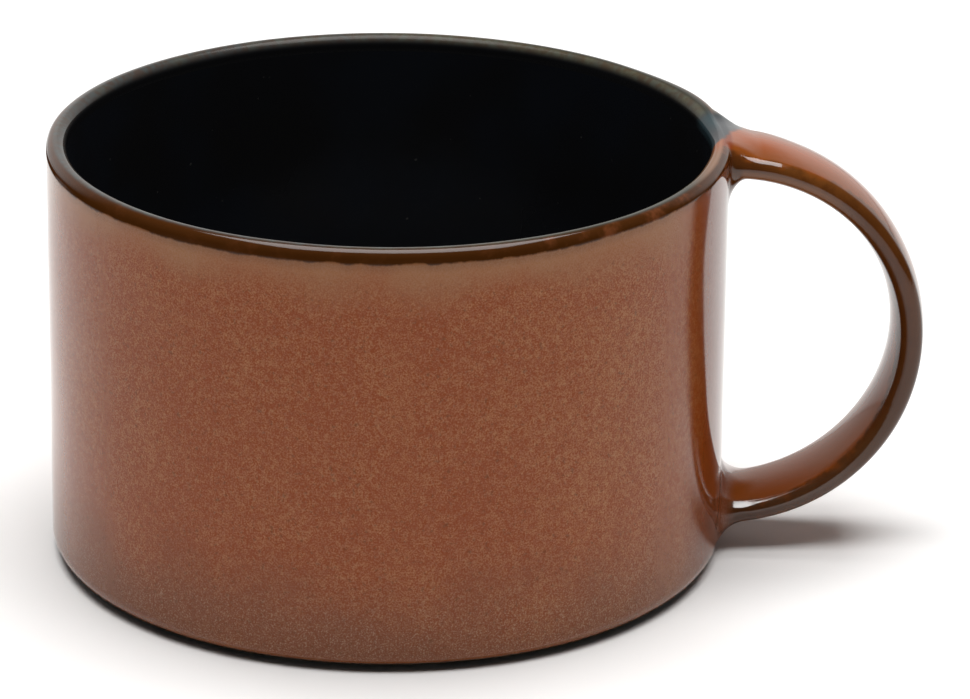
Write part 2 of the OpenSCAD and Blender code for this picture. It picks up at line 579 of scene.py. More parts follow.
@dataclass(frozen=True)
class HandShaping:
    """The slight unevenness that hands leave, as one field in space, so that neighbours stay flush."""

    depth: float = 0.05 * MM
    wave: float = 17.0 * MM
    wave_noise: Ramp = Ramp(0.2, 0.8, -1.0, 1.0)
    seed: float = 4.2
    fullness: float = 0.22 * MM
    full_zone: Zone = Zone(x=(41.0, 44.0, 51.0, 45.0), y=(-4.5, 0.5), z=(47.5, 50.5))
    lip_swell: float = 0.60 * MM
    swell_zone: Zone = Zone(x=(25.0, 33.0, 47.0, 41.0), y=(3.5, 9.5, 26.0, 10.0), z=(44.0, 51.0))
    lip_pull: float = 0.28 * MM
    pull_zone: Zone = Zone(x=(33.0, 39.0, 49.0, 42.5), y=(-12.0, -1.0, 5.5, -2.0), z=(45.0, 51.0))

    def shape(self, sheet: GeometrySheet, geometry: Socket) -> Socket:
        """Adds the unevenness to a tree: to and from the cup's axis, and up and outwards at the upper root.

        Args:
            sheet: Tree of the piece.
            geometry: Its even shape.

        Returns:
            The uneven shape.
        """
        place = sheet.out("GeometryNodeInputPosition")
        spot = Spot(sheet, place)
        waves = sheet.noise(place, Pattern(sheet.size("Length of a wave", self.wave), self.seed, detail=1.0))
        depth = sheet.product(sheet.step(waves, *self.wave_noise), sheet.size("Unevenness", self.depth))
        outwards = sheet.vector("NORMALIZE", sheet.level(place))
        shift = sheet.out("ShaderNodeVectorMath", {0: outwards, "Scale": depth}, operation="SCALE")
        full = sheet.product(spot.within(self.full_zone), sheet.size("Fullness at the lip", self.fullness))
        swell = sheet.product(spot.within(self.swell_zone),
                              sheet.step(spot.reach, CUP.bore - CUP.radius, 0.0),
                              sheet.size("Swell beside the root", self.lip_swell))
        pull = sheet.product(spot.within(self.pull_zone),
                             sheet.size("Pull towards the handle", self.lip_pull))
        draw = sheet.out("ShaderNodeCombineXYZ", {"X": pull, "Z": sheet.total(full, swell)})
        offset = sheet.vector("ADD", shift, draw)
        return sheet.out("GeometryNodeSetPosition", {"Geometry": geometry, "Offset": offset})


HANDS = HandShaping()


@dataclass(frozen=True)
class RustField:
    """Where each colour of the outer glaze lies, painted shade, sheen and reflection among them: one field in
    space for the wall, lip, roots and strap.
    """

    name: str = "rust_field"
    cloud: Pattern = Pattern(13.0 * MM, 1.7, detail=3.0)
    grain: Pattern = Pattern(0.20 * MM, 9.1, rough=0.65)

    # Wall
    deep: Colour = (0.248, 0.0485, 0.0045)
    haze: Colour = (0.400, 0.176, 0.064)
    # Painted shadow that the handle casts on the wall beside it.
    handle_shadow: Colour = (0.150, 0.024, 0.004)
    tan: Colour = (0.320, 0.145, 0.062)
    # Darker, duller brown towards the foot.
    darker_foot: Colour = (0.155, 0.062, 0.030)
    frost: Colour = (0.340, 0.210, 0.140)
    # Pale grains mixed into the colour paint the sparkle of the glaze's crystals.
    grain_sparkle: float = 0.32
    cloud_haze: tuple[float, float] = (0.04, 0.20)
    coarse: Ramp = Ramp(2.0 * MM, 7.0 * MM, 0.15, 1.0)
    fleck: Pattern = Pattern(0.64 * MM, 17.0, detail=1.0, low=-0.16, high=0.16)
    specks: Pattern = Pattern(0.5 * MM, 21.0, detail=1.0, start=0.60, end=0.74, high=0.5)
    # Painted sheen: the wall turns towards the pale haze colour towards +X, where more light falls.
    painted_sheen_side: Zone = Zone(0.10, x=(5.0, 33.0))
    handle_shadow_side: Zone = Zone(0.8, x=(33.5, 38.5))
    tan_side: Zone = Zone(x=(36.0, 31.0))
    tan_fade: Ramp = Ramp(1.0 * MM, 8.0 * MM, 0.85, 0.0)
    tan_waver: float = 2.0 * MM
    darker_foot_fade: Ramp = Ramp(0.0, 16.0 * MM, 0.6, 0.0)
    darker_foot_waver: float = 3.0 * MM
    frost_grain: Ramp = Ramp(0.5, 0.72)
    frost_foot: Zone = Zone(0.6, z=(13.0, 3.0))
    # Painted shade: the dark band colour laid in the hollow corner where the upper root's near side meets the
    # wall.
    crease_shade: Zone = Zone(0.7, x=(37.0, 38.5), y=(-4.8, -5.6, -9.6, -6.6), z=(39.0, 47.0),
                        reach=(-0.3, -0.05, 2.0, 1.1))

    # Strap
    # The darker copies of orange and brown paint shade on the strap's lower half.
    orange: Colour = (0.265, 0.056, 0.005)
    orange_in_shade: Colour = (0.200, 0.052, 0.008)
    brown: Colour = (0.125, 0.042, 0.008)
    brown_in_shade: Colour = (0.062, 0.028, 0.011)
    amber: Colour = (0.180, 0.062, 0.012)
    strap_spread: Ramp = Ramp(25.0 * MM, 40.0 * MM, 2.2 * MM, 0.6 * MM)
    strap_start: float = 0.05 * MM
    edge_waver: Pattern = Pattern(1.6 * MM, 5.0, low=-0.35 * MM, high=0.35 * MM)
    edge_patches: Pattern = Pattern(2.2 * MM, 44.0, 3.0, 0.6, start=0.42, end=0.62, high=0.6)
    edge_inset: float = 0.2 * MM
    edge_share: float = 0.9
    deep_share: float = 0.35
    face_shade: Ramp = Ramp(0.3 * MM, 5.0 * MM, 0.0, 0.5)
    outer_face: Zone = Zone(away=(0.2, 1.0))
    upper_half: Zone = Zone(ring_z=(-8.0, 8.0))
    under_top: Zone = Zone(1.2 * MM, ring_z=(-8.0, 4.0), away=(-0.6, -1.4))
    round_bend: Zone = Zone(ring_x=(8.0, 19.0), ring_z=(-20.0, -4.0))
    bend_edge: float = 1.3 * MM
    bend_share: float = 0.7
    dark_edge: Zone = Zone(0.85, ring_x=(9.0, 2.0), away=(-0.9, -0.3))
    amber_line: Zone = Zone(ring_x=(18.0, 8.0), away=(0.2, -0.4, -1.5, -1.0))

    # Lip
    band: Colour = (0.052, 0.016, 0.003)
    # Grey and olive on the crest are a painted reflection of the pale room on the dark glaze; the
    # band-coloured blotches are its own mottle.
    olive: Colour = (0.080, 0.080, 0.054)
    grey: Colour = (0.050, 0.054, 0.052)
    dusk: Colour = (0.022, 0.021, 0.014)
    taupe: Colour = (0.187, 0.094, 0.051)
    rose: Colour = (0.260, 0.078, 0.030)
    black: Colour = (0.0100, 0.0100, 0.0108)
    band_depth: Ramp = Ramp(12.0 * MM, 28.0 * MM, 1.64 * MM, 1.12 * MM)
    band_edge: Ramp = Ramp(0.16 * MM, -0.16 * MM)
    band_shade: Ramp = Ramp(1.3 * MM, 0.0, 0.0, 0.3)
    band_wall: Zone = Zone(reach=(0.8, 0.0))
    band_patches: Pattern = Pattern(2.4 * MM, 71.0, 3.0, 0.6, start=0.5, end=0.75)
    rose_side: Ramp = Ramp(0.0, 26.0 * MM, 0.1, 0.4)
    drips: Pattern = Pattern(2.6 * MM, 12.0, 4.0, 0.6, start=0.25, end=0.75, low=-0.25 * MM, high=0.25 * MM)
    drip_stretch: tuple[float, float, float] = (1.0, 1.0, 0.35)
    olive_side: Ramp = Ramp(-20.0 * MM, 25.0 * MM, 0.0, 0.7)
    olive_tint: Pattern = Pattern(3.0 * MM, 33.0, low=-0.2, high=0.3)
    blotches: Pattern = Pattern(0.9 * MM, 61.0, detail=3.0, start=0.35, low=0.45, high=0.0)
    dusk_line: Zone = Zone(0.8, x=(10.0, 24.0), lip=(-0.5, -0.1))
    at_handle: Zone = Zone(x=(34.0, 38.5), y=(4.0, -1.0))
    rose_at_handle: Zone = Zone(y=(-9.0, -3.0))
    on_root: Zone = Zone(x=(37.0, 38.5), y=(-5.2, -4.6, 8.2, 6.8))
    lip_top: Zone = Zone(lip=(0.6, 0.1))
    lip_inside: Zone = Zone(lip=(0.0, -0.3), below=(0.1, 1.1))

    # Pool between lip and handle
    pool: Colour = (0.030, 0.050, 0.058)
    shore: Colour = (0.105, 0.068, 0.046)
    pool_start: float = 41.2 * MM
    pool_slope: float = 1.9
    pool_waver: Pattern = Pattern(1.8 * MM, 40.0, low=-0.6 * MM, high=0.6 * MM)
    pool_edge: Ramp = Ramp(-0.7 * MM, 1.0 * MM)
    pool_zone: Zone = Zone(0.9, x=(36.0, 38.0), y=(8.5, 5.5), reach=(3.0, 1.5), below=(2.2, 1.4))
    shore_zone: Zone = Zone(x=(36.0, 38.0), y=(4.8, 6.6, 15.0, 9.0), reach=(-1.0, -0.6, 3.0, 1.5),
                            below=(3.0, 1.8))

    # Shine
    satin: float = 0.38
    satin_sway: float = 0.05
    gloss: float = 0.09
    lip_rough: float = 0.24
    satin_level: float = 0.33
    satin_level_sway: float = 0.16
    gloss_level: float = 0.58
    hollow_level: float = 0.20
    hollow: Ramp = Ramp(-0.9 * MM, -1.5 * MM)
    far_bend: Zone = Zone(ring_x=(11.0, 19.0))
    far_hollow: float = 0.6 * MM
    far_shine: Ramp = Ramp(0.0, 1.0, 1.0, 0.7)
    shiny_lip: Ramp = Ramp(0.2 * MM, -0.2 * MM)
    dull_lip: Zone = Zone(lip=(0.1, -0.3), below=(2.0, 1.5))
    dull_side: Ramp = Ramp(5.0 * MM, 25.0 * MM, 0.6, 1.0)
    dull_shine: Ramp = Ramp(0.0, 1.0, 1.0, 0.22)
    dull_band: Zone = Zone(reach=(0.3, 0.0), below=(0.5, 0.9))
    root_shine: Ramp = Ramp(0.0, 0.4 * MM, 0.5, 1.0)
    glint: Zone = Zone(0.55, z=(24.0, 18.0), side=(4.5, 4.9), away=(-0.5, -0.9))
    ripple: Pattern = Pattern(0.7 * MM, 27.0)
    ripple_height: float = 7.0

    def group(self) -> bpy.types.NodeTree:
        """Returns the group that gives colour and shine at a place, made once."""
        return bpy.data.node_groups.get(self.name) or self.make()

    def make(self) -> bpy.types.NodeTree:
        """Builds the group.

        Returns:
            The group, with the outputs Colour, Roughness, Grain and Level.
        """
        sheet = NodeSheet(bpy.data.node_groups.new(self.name, "ShaderNodeTree"))
        sheet.tree.interface.new_socket("Colour", in_out="OUTPUT", socket_type="NodeSocketColor")
        for name in ("Roughness", "Grain", "Level"):
            sheet.tree.interface.new_socket(name, in_out="OUTPUT", socket_type="NodeSocketFloat")
        spot = Spot(sheet, sheet.place())
        cloud = sheet.noise(spot.place, self.cloud)
        grain = sheet.noise(spot.place, self.grain)
        off_wall = sheet.step(spot.reach, self.strap_start, sheet.step(spot.z, *self.strap_spread))
        colour = sheet.mix(off_wall, self.wall_colour(spot, cloud, grain), self.strap_colour(spot, cloud))
        colour = self.lip_colour(spot, colour)
        colour = self.pool_colour(spot, colour)
        # Painted shade in the hollow corner beside the upper root.
        colour = sheet.mix(spot.within(self.crease_shade), colour, self.band)
        shine = sheet.math("MAXIMUM", off_wall, sheet.step(self.past_band(spot), *self.shiny_lip))
        satin = sheet.spread(grain, self.satin + self.satin_sway, self.satin - self.satin_sway)
        sheen = sheet.step(spot.within(self.dull_lip), 0.0, 1.0, self.gloss, self.lip_rough)
        sparkle = sheet.spread(grain, self.satin_level - self.satin_level_sway,
                               self.satin_level + self.satin_level_sway)
        ripple = sheet.product(sheet.noise(spot.place, self.ripple), off_wall, self.ripple_height)
        sheet.add("NodeGroupOutput", {
            "Colour": colour, "Roughness": sheet.blend(shine, satin, sheen),
            "Grain": sheet.total(sheet.product(grain, sheet.rest(shine)), ripple),
            "Level": sheet.blend(shine, sparkle, self.gloss_strength(spot, off_wall))})
        return sheet.tree

    def gloss_strength(self, spot: Spot, off_wall: Socket) -> Socket:
        """Works out how strongly the shiny parts reflect.

        Args:
            spot: Where the place lies.
            off_wall: Share of the handle.

        Returns:
            The specular level.
        """
        sheet = spot.sheet
        bend = spot.within(self.far_bend)
        inward = sheet.math("SUBTRACT", spot.away, sheet.product(bend, self.far_hollow))
        hollow = sheet.product(off_wall, sheet.step(inward, *self.hollow))
        glossy = sheet.total(sheet.step(hollow, 0.0, 1.0, self.gloss_level, self.hollow_level),
                             sheet.product(spot.within(self.glint), off_wall))
        dull = sheet.product(spot.within(self.dull_lip), sheet.step(spot.x, *self.dull_side))
        return sheet.product(glossy, sheet.rest(spot.within(self.dull_band)),
                             sheet.step(dull, *self.dull_shine), sheet.step(spot.reach, *self.root_shine),
                             sheet.step(bend, *self.far_shine))

    def past_band(self, spot: Spot) -> Socket:
        """Returns how far a place lies below the even edge of the band, which is narrower at the right."""
        return spot.sheet.math("SUBTRACT", spot.below, spot.sheet.step(spot.x, *self.band_depth))

    def wall_colour(self, spot: Spot, cloud: Socket, grain: Socket) -> Socket:
        """Mixes the mottled rust of the wall, with painted sheen towards +X, the handle's painted shadow, pale
        grains that paint sparkle and a darker brown towards the foot.

        Args:
            spot: Where the place lies.
            cloud: Broad noise.
            grain: Fine noise.

        Returns:
            The colour.
        """
        sheet = spot.sheet
        coarse = sheet.step(spot.below, *self.coarse)
        # Fine mottle of grain and flecks: painted sparkle of the glaze's crystals.
        mottle = sheet.total(sheet.spread(grain, -self.grain_sparkle, self.grain_sparkle), spot.pattern(self.fleck))
        # The haze share also rises towards +X as painted sheen.
        haze = sheet.total(sheet.spread(cloud, *self.cloud_haze), sheet.product(coarse, mottle),
                           spot.within(self.painted_sheen_side))
        colour = sheet.mix(haze, self.deep, self.haze)
        # Painted shadow of the handle on the wall.
        colour = sheet.mix(spot.within(self.handle_shadow_side), colour, self.handle_shadow)
        soft_edge = sheet.total(spot.below, sheet.spread(cloud, -self.tan_waver, self.tan_waver))
        tan = sheet.product(sheet.step(soft_edge, *self.tan_fade), spot.within(self.tan_side))
        colour = sheet.mix(tan, colour, self.tan)
        # The wall turns darker and duller towards the foot.
        height = sheet.total(spot.z, sheet.spread(cloud, -self.darker_foot_waver, self.darker_foot_waver))
        colour = sheet.mix(sheet.step(height, *self.darker_foot_fade), colour, self.darker_foot)
        frost = sheet.product(sheet.step(grain, *self.frost_grain), spot.within(self.frost_foot))
        colour = sheet.mix(frost, colour, self.frost)
        return sheet.mix(sheet.product(coarse, spot.pattern(self.specks)), colour, self.brown)

    def strap_colour(self, spot: Spot, cloud: Socket) -> Socket:
        """Mixes the orange rust of the strap, which breaks to brown along the edges, with darker copies on its
        lower half as painted shade.

        Args:
            spot: Where the place lies.
            cloud: Broad noise.

        Returns:
            The colour.
        """
        sheet = spot.sheet
        high = spot.within(self.upper_half)
        bend = spot.within(self.round_bend)
        ragged = sheet.total(spot.side, spot.pattern(self.edge_waver), spot.within(self.under_top),
                             sheet.product(bend, self.bend_edge))
        # The lower half takes the darker orange: painted shade.
        face = sheet.mix(high, self.orange_in_shade, self.orange)
        face = sheet.mix(sheet.spread(cloud, 0.0, self.deep_share), face, self.deep)
        shade = sheet.product(sheet.step(ragged, *self.face_shade), spot.within(self.outer_face))
        face = sheet.mix(shade, face, self.brown)
        # The lower half takes the darker edge brown: painted shade.
        dark = sheet.mix(high, self.brown_in_shade, self.brown)
        for share in (spot.pattern(self.edge_patches), sheet.product(bend, self.bend_share),
                      spot.within(self.dark_edge)):
            dark = sheet.mix(share, dark, self.band)
        amber = sheet.product(high, spot.within(self.amber_line))
        edge = sheet.step(ragged, STRAP.edge + self.edge_inset, STRAP.width / 2 - self.edge_inset,
                          0.0, self.edge_share)
        return sheet.mix(edge, face, sheet.mix(amber, dark, self.amber))

    def lip_colour(self, spot: Spot, colour: Socket) -> Socket:
        """Lays the brown band over the lip, gives its crest grey and olive as a painted reflection, and lets
        it run to black inside, except beside the handle.

        Args:
            spot: Where the place lies.
            colour: Colour under the band.

        Returns:
            The colour.
        """
        sheet = spot.sheet
        drips = sheet.pattern(sheet.vector("MULTIPLY", spot.place, self.drip_stretch), self.drips)
        ragged = sheet.total(self.past_band(spot), drips)
        free = sheet.product(spot.within(self.band_wall), sheet.rest(spot.within(self.on_root)))
        colour = sheet.mix(sheet.product(sheet.step(ragged, *self.band_shade), free), colour, self.band)
        patches = sheet.product(spot.pattern(self.band_patches), sheet.step(spot.x, *self.rose_side))
        colour = sheet.mix(sheet.product(sheet.step(ragged, *self.band_edge), free), colour,
                           sheet.mix(patches, self.band, self.rose))
        # Painted reflection on the crest, grey to olive, with blotches of the band's own colour.
        tint = sheet.total(sheet.step(spot.x, *self.olive_side), spot.pattern(self.olive_tint))
        mottled = sheet.mix(tint, self.grey, self.olive)
        mottled = sheet.mix(spot.pattern(self.blotches), mottled, self.band)
        mottled = sheet.mix(spot.within(self.dusk_line), mottled, self.dusk)
        warm = sheet.mix(spot.within(self.rose_at_handle), self.taupe, self.rose)
        top = sheet.mix(spot.within(self.at_handle), mottled, warm)
        colour = sheet.mix(spot.within(self.lip_top), colour, top)
        return sheet.mix(spot.within(self.lip_inside), colour, self.black)

    def pool_colour(self, spot: Spot, colour: Socket) -> Socket:
        """Lays a blue-grey pool over the lip on the far side of the handle.

        Args:
            spot: Where the place lies.
            colour: Colour under the pool.

        Returns:
            The colour.
        """
        sheet = spot.sheet
        slope = sheet.product(sheet.math("SUBTRACT", spot.x, self.pool_start), self.pool_slope)
        past = sheet.total(sheet.math("SUBTRACT", spot.y, slope), spot.pattern(self.pool_waver))
        share = sheet.product(sheet.step(past, *self.pool_edge), spot.within(self.pool_zone))
        colour = sheet.mix(spot.within(self.shore_zone), colour, self.shore)
        return sheet.mix(share, colour, self.pool)


@dataclass(frozen=True)
class RustFinish:
    """The outer glaze: satin where it is seen square on and shiny at a flat angle."""

    name: str
    grain_depth: float = 0.004 * MM
    grain_strength: float = 0.5
    flat_angle: Ramp = Ramp(0.35, 0.75)
    flat_rough: float = 0.05

    def material(self) -> bpy.types.Material:
        """Builds the material.

        Returns:
            The material.
        """
        sheet = MaterialSheet(self.name)
        field = sheet.add("ShaderNodeGroup", node_tree=RustField().group()).outputs
        facing = sheet.add("ShaderNodeLayerWeight").outputs["Facing"]
        rough = sheet.blend(sheet.step(facing, *self.flat_angle), field["Roughness"], self.flat_rough)
        bump = sheet.out("ShaderNodeBump", {
            "Strength": self.grain_strength, "Distance": self.grain_depth, "Height": field["Grain"]})
        return sheet.close({
            "Base Color": field["Colour"], "Roughness": rough, "Normal": bump, "IOR": GLAZE_IOR,
            "Specular IOR Level": field["Level"]})


@dataclass(frozen=True)
class BlackFinish:
    """The glossy black coat inside, with a faint blue cloud and a few pale specks."""

    name: str = "inside_black_glaze"
    black: Colour = (0.0095, 0.0093, 0.0100)
    blue: Colour = (0.0095, 0.0112, 0.0150)
    speck: Colour = (0.050, 0.048, 0.045)
    cloud: Pattern = Pattern(15.0 * MM, 7.0)
    blue_cloud: Ramp = Ramp(0.35, 0.65)
    specks: Pattern = Pattern(1.1 * MM, 3.0, detail=1.0, start=0.76, end=0.80)
    rough: tuple[float, float] = (0.16, 0.26)
    level: float = 0.35

    def material(self) -> bpy.types.Material:
        """Builds the material.

        Returns:
            The material.
        """
        sheet = MaterialSheet(self.name)
        place = sheet.place()
        cloud = sheet.noise(place, self.cloud)
        colour = sheet.mix(sheet.step(cloud, *self.blue_cloud), self.black, self.blue)
        colour = sheet.mix(sheet.pattern(place, self.specks), colour, self.speck)
        return sheet.close({"Base Color": colour, "Roughness": sheet.spread(cloud, *self.rough),
                            "IOR": GLAZE_IOR, "Specular IOR Level": self.level})


@dataclass(frozen=True)
class ClayFinish:
    """Bare fired clay with fine grit and the rings of the turning tool."""

    name: str = "bare_clay"
    clay: Colour = (0.36, 0.26, 0.18)
    dark: Colour = (0.16, 0.10, 0.07)
    grit: Pattern = Pattern(0.4 * MM, 2.0, 3.0, 0.7)
    dark_grit: Ramp = Ramp(0.5, 0.75, 0.0, 0.6)
    shade: Pattern = Pattern(9.0 * MM, 6.0, high=0.25)
    ring_step: float = 0.55 * MM
    ring_height: float = 0.3
    bump_depth: float = 0.04 * MM
    bump_strength: float = 0.5
    rough: tuple[float, float] = (0.75, 0.9)

    def material(self) -> bpy.types.Material:
        """Builds the material.

        Returns:
            The material.
        """
        sheet = MaterialSheet(self.name)
        place = sheet.place()
        grit = sheet.noise(place, self.grit)
        mottled = sheet.total(sheet.step(grit, *self.dark_grit), sheet.pattern(place, self.shade))
        turns = sheet.product(sheet.length(sheet.level(place)), 2 * math.pi / self.ring_step)
        height = sheet.total(sheet.product(sheet.math("SINE", turns), self.ring_height), grit)
        bump = sheet.out("ShaderNodeBump", {
            "Strength": self.bump_strength, "Distance": self.bump_depth, "Height": height})
        return sheet.close({"Base Color": sheet.mix(mottled, self.clay, self.dark),
                            "Roughness": sheet.spread(grit, *self.rough), "Normal": bump})


def settle(piece: bpy.types.Object, slot: Slot, *nodes: str) -> bpy.types.Object:
    """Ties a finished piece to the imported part.

    Args:
        piece: The piece, in place.
        slot: Material slot of its finish; it is not used.
        nodes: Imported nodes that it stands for.

    Returns:
        The piece.
    """
    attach(piece, BODY)
    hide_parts(*nodes)
    LOG.info("%s stands for %s with %d faces", piece.name, ", ".join(nodes), len(piece.data.polygons))
    return piece


@dataclass(frozen=True)
class Corner:
    """A corner of a coat's path beside the cup's axis."""

    name: str
    radius: float
    height: float
    fillet: float = 0.0


@dataclass(frozen=True)
class TurnedCoat:
    """A coat of glaze turned about the cup's axis, along a path of rounded corners.

    Attributes:
        name: Name of the piece.
        node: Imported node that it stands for.
        slot: Material slot of its finish.
        path: Corners of the path, which is swept along a small circle round the axis.
        spacing: Distance between points along the path.
        segments: Number of steps round the axis.
        rail: Radius of the small circle.
        fillet_steps: Number of points in a rounded corner.
        weld: Distance below which points become one.
    """

    name: str
    node: str
    slot: Slot
    path: tuple[Corner, ...]
    spacing: float
    segments: int = 360
    rail: float = 1.0 * MM
    fillet_steps: int = 24
    weld: float = 0.001 * MM

    def build(self, material: bpy.types.Material) -> bpy.types.Object:
        """Makes the coat.

        Args:
            material: Its finish.

        Returns:
            The piece.
        """
        sheet = GeometrySheet("turned_" + self.name)
        places = []
        fillets = []
        for corner in self.path:
            across = sheet.math("SUBTRACT", sheet.size(corner.name + " radius", corner.radius), self.rail)
            down = sheet.product(sheet.size(corner.name + " height", corner.height), -1.0)
            places.append(sheet.out("ShaderNodeCombineXYZ", {"X": across, "Y": down}))
            fillets.append(sheet.size(corner.name + " rounding", corner.fillet))
        points = sheet.out("GeometryNodePoints", {
            "Count": len(places), "Position": sheet.pick(places, "VECTOR")})
        line = sheet.out("GeometryNodePointsToCurves", {"Points": points})
        rounded = sheet.out("GeometryNodeFilletCurve", {
            "Curve": line, "Count": self.fillet_steps, "Radius": sheet.pick(fillets, "FLOAT")}, mode="POLY")
        path = sheet.out("GeometryNodeResampleCurve", {
            "Curve": rounded, "Length": sheet.size("Spacing", self.spacing)}, mode="LENGTH")
        rail = sheet.out("GeometryNodeCurvePrimitiveCircle", {
            "Resolution": sheet.size("Segments", self.segments, "NodeSocketInt"), "Radius": self.rail})
        welded = sheet.out("GeometryNodeMergeByDistance", {
            "Geometry": sheet.sweep(rail, path), "Distance": self.weld})
        sheet.close(HANDS.shape(sheet, welded), material)
        return settle(sheet.grow(self.name, wall=CUP.coat), self.slot, self.node)


def wall_coat() -> TurnedCoat:
    """Returns the rust coat outside, from the lip's band to the foot."""
    path = (Corner("Top", CUP.radius, CUP.lip_low),
            Corner("Base", CUP.radius, CUP.base, CUP.base_round),
            Corner("Foot", CUP.foot, CUP.base))
    return TurnedCoat("wall_glaze", "outer_glaze", Slot.WALL, path, spacing=0.5 * MM)


def lip_coat() -> TurnedCoat:
    """Returns the brown coat over the lip."""
    path = (Corner("Inside", CUP.bore, CUP.lip_low),
            Corner("Inner lip", CUP.bore, CUP.height, CUP.lip_round),
            Corner("Outer lip", CUP.radius, CUP.height, CUP.lip_round),
            Corner("Outside", CUP.radius, CUP.lip_low))
    return TurnedCoat("lip_glaze", "rim_glaze", Slot.LIP, path, spacing=0.14 * MM)


def inside_coat() -> TurnedCoat:
    """Returns the black coat on the inside of the wall and on the floor."""
    path = (Corner("Middle", 0.0, CUP.floor),
            Corner("Floor", CUP.bore, CUP.floor, CUP.inside_round),
            Corner("Top", CUP.bore, CUP.lip_low))
    return TurnedCoat("inside_glaze", "inner_glaze", Slot.INSIDE, path, spacing=0.8 * MM)


@dataclass(frozen=True)
class StrapCoat:
    """The coat round the strap, swept along the half ring from root to root."""

    name: str = "handle_strap_glaze"
    node: str = "handle_glaze"
    slot: Slot = Slot.HANDLE

    def section(self, sheet: GeometrySheet) -> Socket:
        """Draws the strap's section in a tree, by the rule of its outward directions.

        Args:
            sheet: Tree of the piece.

        Returns:
            The section as a closed curve.
        """
        count = sheet.size("Section points", STRAP.points, "NodeSocketInt")
        crown = sheet.size("Crown radius", STRAP.crown)
        half = sheet.size("Half thickness", STRAP.thickness / 2)
        edge = sheet.size("Edge place", STRAP.edge)
        edge_round = sheet.size("Edge radius", STRAP.edge_round)
        index = sheet.out("GeometryNodeInputIndex")
        turn = sheet.math("DIVIDE", sheet.product(index, 2 * math.pi), count)
        out_x = sheet.math("COSINE", turn)
        out_y = sheet.math("SINE", turn)
        on_face = sheet.math("GREATER_THAN", sheet.math("ABSOLUTE", out_x), math.cos(STRAP.crown_turn))
        on_edge = sheet.rest(on_face)
        radius = sheet.total(sheet.product(on_face, crown), sheet.product(on_edge, edge_round))
        back = sheet.product(on_face, sheet.math("SIGN", out_x), sheet.math("SUBTRACT", crown, half))
        across = sheet.product(on_edge, sheet.math("SIGN", out_y), edge)
        place = sheet.out("ShaderNodeCombineXYZ", {
            "X": sheet.math("SUBTRACT", sheet.product(radius, out_x), back),
            "Y": sheet.total(sheet.product(radius, out_y), across)})
        circle = sheet.out("GeometryNodeCurvePrimitiveCircle", {"Resolution": count})
        return sheet.out("GeometryNodeSetPosition", {"Geometry": circle, "Position": place})

    def build(self, material: bpy.types.Material) -> bpy.types.Object:
        """Makes the coat.

        Args:
            material: Its finish.

        Returns:
            The piece.
        """
        sheet = GeometrySheet("swept_" + self.name)
        section = self.section(sheet)
        low = STRAP.end_turn(StrapEnd.LOWER) - math.pi / 2
        high = math.pi / 2 - STRAP.end_turn(StrapEnd.UPPER)
        rail = sheet.out("GeometryNodeCurveArc", {
            "Resolution": sheet.size("Steps", STRAP.steps, "NodeSocketInt"),
            ARC_RADIUS_PLACE: sheet.size("Ring radius", STRAP.path),
            "Start Angle": sheet.size("Lower end", low),
            "Sweep Angle": sheet.size("Turn", high - low)}, mode="RADIUS")
        stood = sheet.out("GeometryNodeTransform", {
            "Geometry": sheet.sweep(rail, section),
            "Translation": (STRAP.centre_x, 0.0, STRAP.centre_z),
            "Rotation": (math.pi / 2, 0.0, 0.0)})
        sheet.close(HANDS.shape(sheet, stood), material)
        return settle(sheet.grow(self.name, wall=STRAP.coat), self.slot, self.node)


@dataclass(frozen=True)
class Fillets:
    """How far a root's fillet reaches, on each side of the strap.

    Attributes:
        outer: Reach on the strap's outer face.
        outer_side: Reach on its flanks, towards the outer face.
        inner_side: Reach on its flanks, towards the inner face.
        inner: Reach on its inner face.
        far: Factor of the flank on the far side, which grows over far_fade of the half width.
        near: Factor of the inner reaches on the near side, which grows over near_fade.
    """

    outer: float
    outer_side: float
    inner_side: float
    inner: float
    far: float = 1.0
    far_fade: tuple[float, float] = (0.0, 0.8)
    near: float = 1.0
    near_fade: tuple[float, float] = (0.1, 0.85)

    def reach(self, away: np.ndarray, side: np.ndarray) -> np.ndarray:
        """Works out the reach towards a place beside the strap.

        Args:
            away: Distance from the strap's middle line, away from the ring's centre.
            side: Distance along Y.

        Returns:
            The reach there.
        """
        thick = away / (STRAP.thickness / 2)
        wide = side / (STRAP.width / 2)
        facing = thick ** 2 / (thick ** 2 + wide ** 2 + TINY)
        outside = smooth_step(thick, -1.0, 1.0)
        tight = 1 + (self.near - 1) * smooth_step(-wide, *self.near_fade)
        face = self.inner * tight + (self.outer - self.inner * tight) * outside
        flank = self.inner_side * tight + (self.outer_side - self.inner_side * tight) * outside
        flank = flank * (1 + (self.far - 1) * smooth_step(wide, *self.far_fade))
        return flank + (face - flank) * facing


def unit(vectors: np.ndarray) -> np.ndarray:
    """Returns vectors, one in each row, at length 1."""
    return vectors / np.maximum(np.linalg.norm(vectors, axis=1, keepdims=True), TINY)


def from_axis(place: np.ndarray) -> np.ndarray:
    """Returns the distance of points, one in each row, from the cup's axis."""
    return np.hypot(place[:, 0], place[:, 1])


def smooth_step(value: np.ndarray, start: float, end: float) -> np.ndarray:
    """Returns a smooth step from 0 at start to 1 at end."""
    share = np.clip((value - start) / (end - start), 0.0, 1.0)
    return share * share * (3 - 2 * share)


